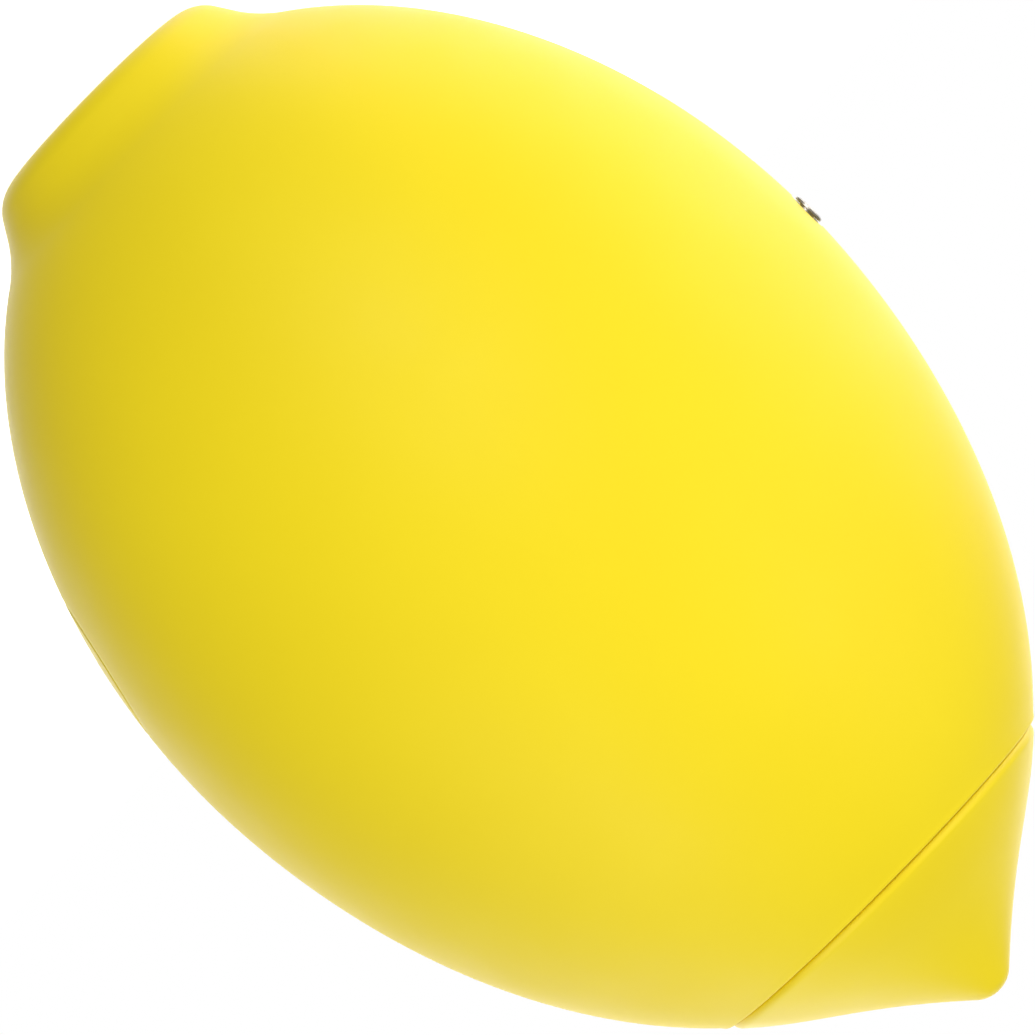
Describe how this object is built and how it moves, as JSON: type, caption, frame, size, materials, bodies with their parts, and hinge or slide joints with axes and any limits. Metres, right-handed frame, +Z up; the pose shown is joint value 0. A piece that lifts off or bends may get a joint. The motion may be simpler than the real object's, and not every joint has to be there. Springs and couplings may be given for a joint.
{
  "type": "hand-held mist sprayer",
  "caption": "Lemon-shaped rechargeable hand-held mist sprayer: soft yellow body that stands on its flat stem, pointed lift-off nose cap, flush push button, wick-fed mist head in a tank.",
  "frame": {"origin": "centre of the flat stem face that the lemon stands on", "axes": "+Z up along the lemon's axis towards its nose; the push button faces -Y and the charging contacts face +Y; +X completes the right-handed frame"},
  "size_m": [0.0662, 0.0665, 0.1],
  "materials": {
    "yellow_skin": "soft-touch satin",
    "yellow_plastic": "satin",
    "ivory_plastic": "fine spark texture",
    "white_plastic": "gloss",
    "black_plastic": "matte",
    "clear_tank": "clear moulded plastic",
    "seal": "silicone",
    "foam": "fine foam",
    "board": "solder mask",
    "flat_lead": "film",
    "battery_wrap": "shrink film",
    "steel": "plain",
    "magnet": "nickel plate",
    "bright_contact": "polished",
    "gold_contact": "gold plate",
    "ceramic": "silvered piezo ceramic",
    "cotton": "compressed cotton"
  },
  "bodies": {
    "body": {"outer_skin": "yellow_skin", "left_shell": "ivory_plastic", "right_shell": "ivory_plastic", "shell_screw_1": "steel", "shell_screw_2": "steel", "shell_screw_3": "steel", "shell_screw_4": "steel", "neck_ring": "ivory_plastic", "spring_pin_left": "gold_contact", "spring_pin_right": "gold_contact", "water_tank": "clear_tank", "tank_gasket": "seal", "circuit_board": "board", "board_screw_left": "steel", "board_screw_right": "steel", "tact_switch": "black_plastic", "driver_chip": "black_plastic", "power_inductor": "black_plastic", "battery_connector": "white_plastic", "head_connector": "white_plastic", "charge_connector": "white_plastic", "battery_cell": "battery_wrap", "battery_cradle": "ivory_plastic", "battery_pad": "foam", "battery_lead": "flat_lead", "contact_block": "yellow_plastic", "charging_contact_left": "bright_contact", "charging_contact_right": "bright_contact", "magnet_left": "magnet", "magnet_right": "magnet", "charge_lead": "flat_lead", "head_lead": "flat_lead", "button_carrier": "ivory_plastic"},
    "button": {"button_cap": "yellow_plastic", "switch_plunger": "black_plastic"},
    "mist_head": {"head_body": "white_plastic", "head_seal": "seal", "contact_ring_inner": "gold_contact", "contact_ring_outer": "gold_contact", "lower_gasket": "seal", "mesh_plate": "steel", "piezo_ring": "ceramic", "upper_gasket": "seal", "head_cover": "white_plastic", "wick_tube": "white_plastic", "wick": "cotton", "wick_spring": "steel"},
    "cap": {"nose_cap": "yellow_plastic", "cap_collar": "white_plastic", "cap_seal": "seal"}
  },
  "joints": [
    {"name": "button_press", "type": "slide", "parent": "body", "child": "button", "axis": [0, 1, 0], "range_m": [0, 0.0005], "stiffness_N_per_m": 2400},
    {"name": "mist_head_lift", "type": "slide", "parent": "body", "child": "mist_head", "axis": [0, 0, 1], "range_m": [0, 0.045]},
    {"name": "nose_cap_lift", "type": "slide", "parent": "mist_head", "child": "cap", "axis": [0, 0, 1], "range_m": [0, 0.04]}
  ]
}
